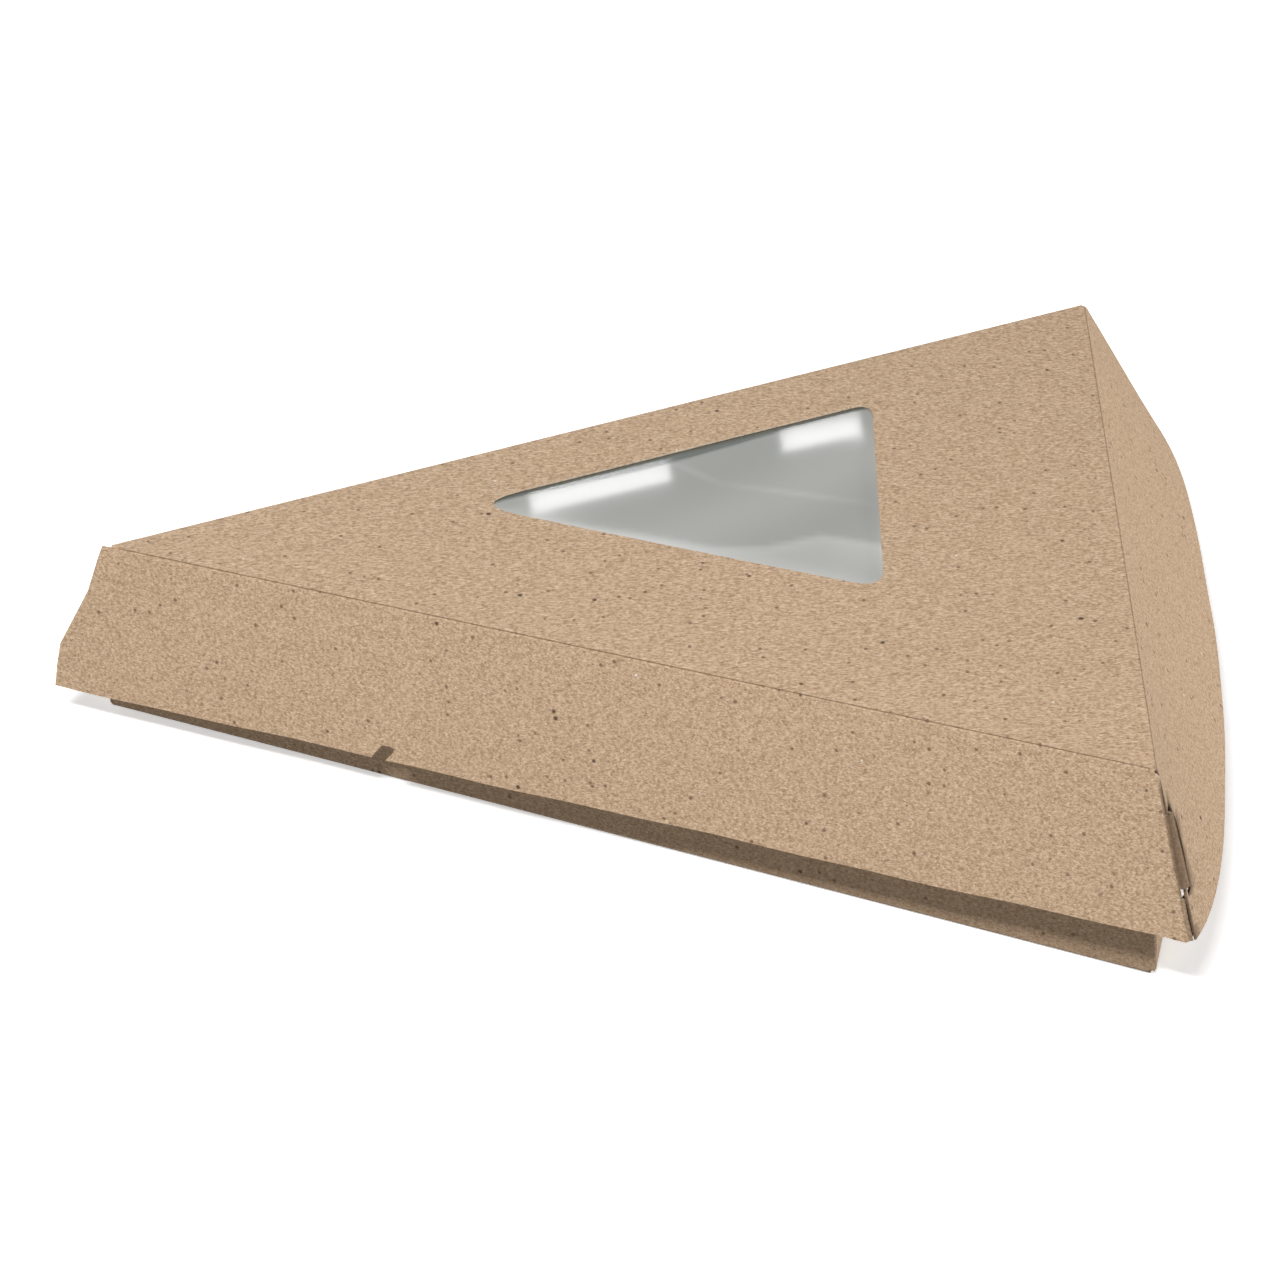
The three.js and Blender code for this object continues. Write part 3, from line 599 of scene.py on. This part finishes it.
# Painted shade: dark lines along the near and crust creases, along both walls' ends at the corner,
# and darkest round the slit.
near_shade = crease_shade(past_near) * np.clip((along - 2.5) / 2.0, 0, 1)
crust_shade = 0.8 * crease_shade(flat[:, 0] - SLICE_LENGTH) * (past_near < -0.3)
corner_shade = np.zeros(len(flat))
ON_LINE = 0.02
at_edge = distance_to(flat, outline) < ON_LINE
at_near_end = at_edge & (past_near > 2.0) & (past_near < 36.5) & (along > 230)
at_crust_end = at_edge & (past_near < 0.2) & (flat[:, 0] > SLICE_LENGTH + 0.5)
at_crust_end &= flat[:, 1] < -HALF_WIDTH + 1.2
corner_shade[at_near_end | at_crust_end] = 0.8
corner_shade[distance_to(flat, slit) < ON_LINE] = 0.95
near_shade = np.maximum(near_shade, corner_shade)
lid_shell = sheet_piece(
    "lid_board",
    place_lid(lid_points),
    lid_faces,
    np.maximum(near_shade, crust_shade),
    "lid",
    (kraft_face, kraft_edge),
)

# %% [markdown]
# The corner is locked by a tab of the near wall. It turns the corner, dips through the slit in
# the crust wall and runs on behind it, as a carton's lock does.

# %% Lock tab
LOCK_TOP, LOCK_LENGTH, TAB_TAPER = 9.6, 15.5, 2.5


def over_crust(away, down, out):
    def at(share):
        spread = REACH_NEAR - share * (REACH_NEAR + REACH_FAR)
        return np.array([
            SLICE_LENGTH + crust_flare(share) * down / CRUST_DROP,
            -HALF_WIDTH + share * 2 * HALF_WIDTH - spread * down / CRUST_DROP,
            -down,
        ])

    share = away / CRUST_LENGTH
    ahead = at(share + 0.002) - at(share)
    slope = np.array([crust_flare(share), 0.0, -CRUST_DROP])
    normal = np.cross(slope, ahead)
    return at(share) + normal / np.linalg.norm(normal) * out


def near_wall_point(along, past):
    way = math.cos(NEAR_BEND) * OUT_NEAR - np.array([0, 0, math.sin(NEAR_BEND)])
    return along * ALONG_NEAR + past * way


def corner_along(past):
    depths = [p[1] for p in corner_end][::-1]
    return float(np.interp(past, depths, [p[0] for p in corner_end][::-1]))


def smooth_path(knots, count):
    knots = np.array([2 * knots[0] - knots[1], *knots, 2 * knots[-1] - knots[-2]])
    rows = []
    for k in range(1, len(knots) - 2):
        a, b, c, d = knots[k - 1 : k + 3]
        for t in np.linspace(0, 1, count, endpoint=False):
            square, cube = 2 * a - 5 * b + 4 * c - d, 3 * b - a - 3 * c + d
            rows.append(0.5 * (2 * b + (c - a) * t + square * t**2 + cube * t**3))
    rows.append(knots[-2])
    return np.array(rows)


def turned_tab(name, top, length, taper, reach, knots, shades):
    tab_rows = []
    for share in np.linspace(0, 1, 9):
        root = top + length * share
        free = top + taper + (length - 2 * taper) * share
        start = corner_along(root)
        path = [near_wall_point(start, root), near_wall_point(start + 0.7, root)]
        path += [over_crust(away, root + (free - root) * away / reach, out) for away, out in knots]
        tab_rows.append(smooth_path(path, 4))
    grid = np.array(tab_rows)
    rows, columns = grid.shape[:2]
    faces = []
    for r in range(rows - 1):
        for c in range(columns - 1):
            a = r * columns + c
            faces.append((a, a + columns, a + columns + 1, a + 1))
    shade = np.interp(np.linspace(0, 1, columns), np.linspace(0, 1, len(shades)), shades)
    points = place_lid(grid.reshape(-1, 3))
    finishes = (kraft_face, kraft_edge)
    return sheet_piece(name, points, faces, np.tile(shade, rows), "lid", finishes)


# The shades are painted shade across each tab, darkest where it turns and where it lies behind the
# crust wall.
tab_knots = ((0.6, 0.95), (1.4, 0.7), (4.2, -1.0), (9.0, -1.2), (14.5, -1.0))
tab_shades = (0.7, 1.0, 0.75, 0.5, 0.9, 1.0, 1.0)
turned_tab("lock_tab", LOCK_TOP, LOCK_LENGTH, TAB_TAPER, 14.5, tab_knots, tab_shades)
lip_knots = ((0.3, -0.8), (1.6, -0.95), (3.4, -1.0))
turned_tab("corner_lip", 27.4, 8.6, 0.8, 3.4, lip_knots, (0.35, 0.75, 0.85, 0.9))

# %% [markdown]
# The tray is folded from the same sheet: a base with a round crust edge, two long walls that lean
# in a little, and a low curved wall at the crust side, glued at its corners.

# %% Tray blank
TRAY_LENGTH, TRAY_SAGITTA = 226.1, 11.5
NEAR_HEIGHT, CRUST_HEIGHT, CRUST_LEAN = 36.0, 24.0, math.radians(4)
LONG_LEAN = math.asin(LID_TIP_X * math.sin(HALF_ANGLE) / HINGE_HEIGHT)
LONG_BEND = math.pi / 2 + LONG_LEAN
FAR_HEIGHT = (HINGE_HEIGHT - HINGE_STRIP) / math.cos(LONG_LEAN)
TRAY_HALF = TRAY_LENGTH * math.tan(HALF_ANGLE)
TRAY_EDGE = TRAY_LENGTH / math.cos(HALF_ANGLE)
ARC_RADIUS = (TRAY_HALF**2 + TRAY_SAGITTA**2) / (2 * TRAY_SAGITTA)
ARC_X = TRAY_LENGTH + TRAY_SAGITTA - ARC_RADIUS
ARC_HALF = math.asin(TRAY_HALF / ARC_RADIUS)
CRUST_BEND = math.pi / 2 + CRUST_LEAN
CRUST_SETBACK = FOLD_RADIUS * math.tan(CRUST_BEND / 2)


def wall_end(height):
    return TRAY_EDGE - 0.1 - height * math.tan(CRUST_LEAN) / math.cos(HALF_ANGLE)


def wall_start(height):
    return 0.85 + height * math.cos(HALF_ANGLE) * LID_TIP_X / HINGE_HEIGHT


def wall_outline(height, relief):
    return [
        (wall_start(0), 1.2),
        (wall_start(height - 10), height - 10),
        (wall_start(height) + relief, height),
        (wall_end(height) - 7, height),
        (wall_end(CRUST_HEIGHT), CRUST_HEIGHT),
        (wall_end(1.2), 1.2),
        (TRAY_EDGE - 1.2, 1.2),
        (TRAY_EDGE - 1.2, 0.0),
    ]


def tray_point(along, past, far):
    along_way, out_way = (ALONG_FAR, OUT_FAR) if far else (ALONG_NEAR, OUT_NEAR)
    return (along * along_way + past * out_way)[:2]


arc_turns = np.linspace(-ARC_HALF + 0.004, ARC_HALF - 0.004, 61)
inner_arc = ARC_RADIUS - CRUST_SETBACK
base_arc = [(ARC_X + inner_arc * math.cos(t), inner_arc * math.sin(t)) for t in arc_turns]
near_wall = [tray_point(a, h, False) for a, h in wall_outline(NEAR_HEIGHT, 5)]
far_wall = [tray_point(a, h, True) for a, h in wall_outline(FAR_HEIGHT, 0)]
tray_outline = np.array([(1.2, 0.0), *near_wall, *base_arc, *far_wall[::-1]])
tray_rows = []
for far, out_way in ((False, OUT_NEAR), (True, OUT_FAR)):
    start, end = tray_point(2.6, 0, far), tray_point(242.6, 0, far)
    tray_rows += crease_rows(start, end, out_way, FOLD_OFFSETS, 4.0)
tray_flat, tray_faces = blank_net(tray_outline, [], tray_rows, 5.0)
print("tray blank", len(tray_flat), "points")

# %% [markdown]
# The near wall sits in the lid's shadow, and shade is painted on it too, darker near its foot.

# %% Fold the tray
def folded_tray(points):
    points = np.asarray(points, float)
    place = np.concatenate([points, np.zeros((len(points), 1))], axis=1)
    painted_shading = np.zeros(len(points))
    for along_way, out_way in ((ALONG_NEAR, OUT_NEAR), (ALONG_FAR, OUT_FAR)):
        past = points @ out_way[:2]
        out, up = fold_way(past, LONG_BEND)
        wall = (points @ along_way[:2])[:, None] * along_way + out[:, None] * out_way
        wall[:, 2] = up
        place = np.where((past > -0.9)[:, None], wall, place)
        painted_shading = np.maximum(painted_shading, crease_shade(past))
        if out_way is OUT_NEAR:
            # Painted shade on the near wall under the lid, darkest at its foot.
            under_lid_shade = 0.26 + 0.18 * np.exp(-np.maximum(past, 0) / 7.0)
            painted_shading = np.maximum(painted_shading, under_lid_shade * np.clip(past, 0, 1))
    return place, painted_shading


tray_points, tray_shade = folded_tray(tray_flat)
crust_rows = []
bend_steps = np.linspace(-CRUST_SETBACK, CRUST_SETBACK, 7)
setbacks = np.concatenate([bend_steps, np.linspace(2, CRUST_HEIGHT, 9)])
for turned in arc_turns:
    out, up = fold_way(setbacks, CRUST_BEND)
    radius = ARC_RADIUS + out
    x, y = ARC_X + radius * math.cos(turned), radius * math.sin(turned)
    crust_rows.append(np.stack([x, y, up], axis=1))
crust_grid = np.array(crust_rows)
rows, columns = crust_grid.shape[:2]
first = len(tray_points)
crust_faces = []
for r in range(rows - 1):
    for c in range(columns - 1):
        a, b = first + r * columns + c, first + r * columns + c + 1
        crust_faces.append((a, b, b + columns, a + columns))
all_points = np.concatenate([tray_points, crust_grid.reshape(-1, 3)])
all_faces = [f[::-1] for f in (*tray_faces, *crust_faces)]
all_shading = np.concatenate([tray_shade, np.tile(crease_shade(setbacks), rows)])
tray_shell = sheet_piece(
    "tray_board",
    place_tray(all_points),
    all_faces,
    all_shading,
    "tray",
    (kraft_face, kraft_edge),
    even=False,
)

# %% [markdown]
# Three tabs are glued inside the long walls: one at each end of the crust wall and one at the tip.

# %% Glue tabs
TAB_CLEAR = 0.01


def glue_tab(name, far, corners):
    along_way, out_way = (ALONG_FAR, OUT_FAR) if far else (ALONG_NEAR, OUT_NEAR)
    way = math.cos(LONG_BEND) * out_way + np.array([0, 0, math.sin(LONG_BEND)])
    inward = -(math.sin(LONG_BEND) * out_way - np.array([0, 0, math.cos(LONG_BEND)]))
    loop = rounded(corners, (1.5,) * 4, 4)
    points = [a * along_way + h * way + inward * (BOARD + TAB_CLEAR) for a, h in loop]
    order = tuple(range(len(points)))
    return sheet_piece(
        name,
        place_tray(points),
        [order[::-1] if far else order],
        np.zeros(len(points)),
        "tray",
        (kraft_face, kraft_edge),
    )


corner_tab = [(TRAY_EDGE - 16, 2.5), (wall_end(2.5) - 0.7, 2.5)]
corner_tab += [(wall_end(19) - 0.7, 19), (TRAY_EDGE - 16, 16.5)]
glue_tab("near_glue_tab", False, corner_tab)
glue_tab("far_glue_tab", True, corner_tab)
glue_tab("tip_glue_tab", True, [(4.5, 3), (16, 3), (16, 19), (6.0, 16.5)])

# %% [markdown]
# The hinge is only a fold of the same sheet. It belongs half to the tray and half to the lid, so
# a narrow strip bends between the two bodies.

# %% Hinge fold
hinge = np.array([LID_TIP_X, 0.0, HINGE_HEIGHT])
lid_way = LID_TURN @ -OUT_FAR
wall_way = -math.cos(LONG_BEND) * OUT_FAR - np.array([0, 0, math.sin(LONG_BEND)])
strip_section = [lid_way * HINGE_STRIP]
for t in np.linspace(0, 1, 9)[1:-1]:
    strip_section.append((1 - t) ** 2 * HINGE_STRIP * lid_way + t * t * HINGE_STRIP * wall_way)
strip_section.append(wall_way * HINGE_STRIP)
stations = np.linspace(1.6, NEAR_CREASE - 1.0, 90)
strip_points, strip_faces = [], []
for s in stations:
    strip_points.extend(hinge + s * ALONG_FAR + p for p in strip_section)
wide = len(strip_section)
for r in range(len(stations) - 1):
    for c in range(wide - 1):
        a, b = r * wide + c, r * wide + c + 1
        strip_faces.append((a, a + wide, b + wide, b))
hinge_fold = sheet_piece(
    "hinge_fold",
    place_tray(strip_points),
    strip_faces,
    np.zeros(len(strip_points)),
    None,
    (kraft_face, kraft_edge),
)
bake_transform(hinge_fold)

# %% [markdown]
# The window film is thin and clear with a little haze, so it shows what it mirrors and a little
# of what is below. It is flat where it is glued and slack inside the window, with fine creases.
# A point attribute paints light and shade into it: 0 is a painted pale sheen, 0.5 the plain film,
# 1 a painted dark line that stands for the shade and reflection of the board's far edge.

# %% Window film
clear_film = bpy.data.materials.new("clear_film")
clear_film.use_nodes = True
film_skin = clear_film.node_tree.nodes["Principled BSDF"]
for socket, value in (("Roughness", 0.04), ("Specular IOR Level", 0.8), ("Alpha", 0.66)):
    film_skin.inputs[socket].default_value = value
film_tree = clear_film.node_tree
film_shading_attribute = node(film_tree, "ShaderNodeAttribute", attribute_name="painted_shading")
# The ramp runs from a painted pale sheen through the plain film to a painted dark line.
film_shading_ramp = node(film_tree, "ShaderNodeValToRGB")
film_shading_ramp.color_ramp.elements[0].color = (0.86, 0.87, 0.845, 1.0)
film_shading_ramp.color_ramp.elements[1].color = (0.13, 0.15, 0.135, 1.0)
plain_film = film_shading_ramp.color_ramp.elements.new(0.5)
plain_film.color = (0.47, 0.478, 0.448, 1.0)
link(film_tree, film_shading_attribute.outputs["Fac"], film_shading_ramp.inputs["Fac"])
link(film_tree, film_shading_ramp.outputs["Color"], film_skin.inputs["Base Color"])

FILM_TOP = BOARD + 0.21
FILM_MARGIN = 9.0
film_edges = (edge - FILM_MARGIN for edge in (WINDOW_NEAR, WINDOW_FAR, WINDOW_CRUST))
film_outline = rounded(wedge(*film_edges), (3.0, 6.0, 6.0))
# Rows of points along the far edge carry the painted dark line there.
edge_shade_rows = []
for gap in (0.2, 0.8, 1.4, 2.0, 2.6, 3.2, 3.8):
    xs = np.arange(80, 168, 1.5)
    ys = xs * math.tan(HALF_ANGLE) - (WINDOW_FAR + gap) / math.cos(HALF_ANGLE)
    edge_shade_rows.append(np.stack([xs, ys], axis=1))
film_flat, film_faces = blank_net(film_outline, [], edge_shade_rows, 1.6)


def ridge(points, start, end, wide, high):
    start, end = np.asarray(start, float), np.asarray(end, float)
    way = end - start
    t = np.clip((points - start) @ way / (way @ way), 0, 1)
    away = np.linalg.norm(points - start - t[:, None] * way, axis=1)
    return high * np.exp(-((away / wide) ** 2)) * np.sin(np.pi * np.clip(t, 0.02, 0.98)) ** 0.5


film_x, film_y = film_flat.T
from_far_edge = -(film_flat @ OUT_FAR[:2]) - WINDOW_FAR
from_near_edge = np.maximum(-(film_flat @ OUT_NEAR[:2]) - WINDOW_NEAR, 0)
slack = np.clip((from_far_edge - 10.0) / 10.0, 0, 1)
slack *= np.clip(distance_to(film_flat, window) / 8.0, 0, 1) * inside(film_flat, window)
crease_line = ridge(film_flat, (122, 29.5), (134, 18.8), 0.9, 1.0)
crease_line += ridge(film_flat, (134, 18.8), (167, 9), 1.1, 0.8)
swell_x = (100, 116, 132, 144, 156, 166, 172)
swell_y = (6, 0.8, -5.3, -5.6, -1.7, -5.0, -7.5)
below_swell = np.interp(film_x, swell_x, swell_y) - film_y
swell_sheen = np.clip(below_swell / 2.5, 0, 1) * np.exp(-np.maximum(below_swell, 0) / 9.0)
lift = slack * (0.012 * crease_line - 0.014)
film_points = np.column_stack([film_flat, lift - FILM_TOP])
# Painted shade: a dark line of wavering width along the window's far edge stands for the board
# edge's shadow and its reflection in the film.
band = 2.6 + 0.9 * np.sin(film_x * 0.075 - 7.5)
edge_shade = np.clip((band - from_far_edge) / 0.8, 0, 1) * np.clip((170.5 - film_x) / 3, 0, 1)
edge_shade *= np.clip(from_far_edge + 2.0, 0, 1)
# Painted sheen: paler below the swell line, along the crease and near the window's near edge, with
# a faint ripple of tone.
painted_sheen = 0.62 * swell_sheen + 0.22 * crease_line + 0.10 * np.sin(film_x * 0.11 - film_y * 0.16)
painted_sheen += 0.34 * np.exp(-((from_near_edge / 3.5) ** 2))
film_sheen_value = 0.5 - 0.5 * np.clip(painted_sheen, -0.3, 1) * np.clip(from_far_edge / 6.0, 0, 1)
edge_shade_value = np.maximum(film_sheen_value, 0.5 + 0.45 * edge_shade)
window_film = sheet_piece(
    "clear_window",
    place_lid(film_points),
    film_faces,
    np.where(edge_shade > 0, edge_shade_value, film_sheen_value),
    "lid",
    (clear_film,),
    thick=0.1,
)

# %% [markdown]
# Two narrow lamps stand far behind the box, where the film mirrors them in the photo's view.
# They give the two white bars near the window's far edge and add almost no light to the board.

# %% Mirrored lamps
film_normal = LID_TURN @ np.array([0.0, 0.0, 1.0])
film_plane = hinge - film_normal * FILM_TOP
LAMP_AWAY = 1500.0


def mirrored(px, py):
    ray = pixel_ray(px, py)
    reach = (film_plane - camera_place) @ film_normal / (ray @ film_normal)
    hit = camera_place + reach * ray
    return hit, ray - 2 * (ray @ film_normal) * film_normal


def bar_lamp(name, left, right_end, thick, level):
    ends = []
    hit, way = mirrored((left[0] + right_end[0]) / 2, (left[1] + right_end[1]) / 2)
    middle = hit + way * LAMP_AWAY
    for px, py in (left, right_end, (left[0], left[1] + thick)):
        start, ray = mirrored(px, py)
        ends.append(start + ray * ((middle - start) @ way) / (ray @ way))
    across = ends[1] - ends[0]
    length = np.linalg.norm(across)
    across = across / length
    tall = np.linalg.norm((ends[2] - ends[0]) - ((ends[2] - ends[0]) @ across) * across)
    watts = level * math.pi * length * tall * MM * MM
    place, target = Vector(place_tray(middle)), Vector(place_tray(hit))
    lamp = area_lamp(name, place, target, (length * MM, tall * MM), watts)
    back = way / np.linalg.norm(way)
    up_way = np.cross(back, across)
    pose = Matrix([across, up_way, back]).transposed().to_4x4()
    lamp.matrix_world = Matrix.Translation(place) @ pose
    print(name, "is", round(length), "by", round(tall), "mm")
    return lamp


BAR_LEVEL = 9.0
bar_lamp("bar_lamp_left", (531, 504), (670, 473), 23, BAR_LEVEL)
bar_lamp("bar_lamp_right", (782, 443), (861, 427), 25, BAR_LEVEL)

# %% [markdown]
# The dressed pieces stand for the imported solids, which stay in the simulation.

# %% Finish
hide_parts("lid")
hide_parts("tray")
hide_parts("window_film")
bpy.context.scene.view_settings.view_transform = "Standard"
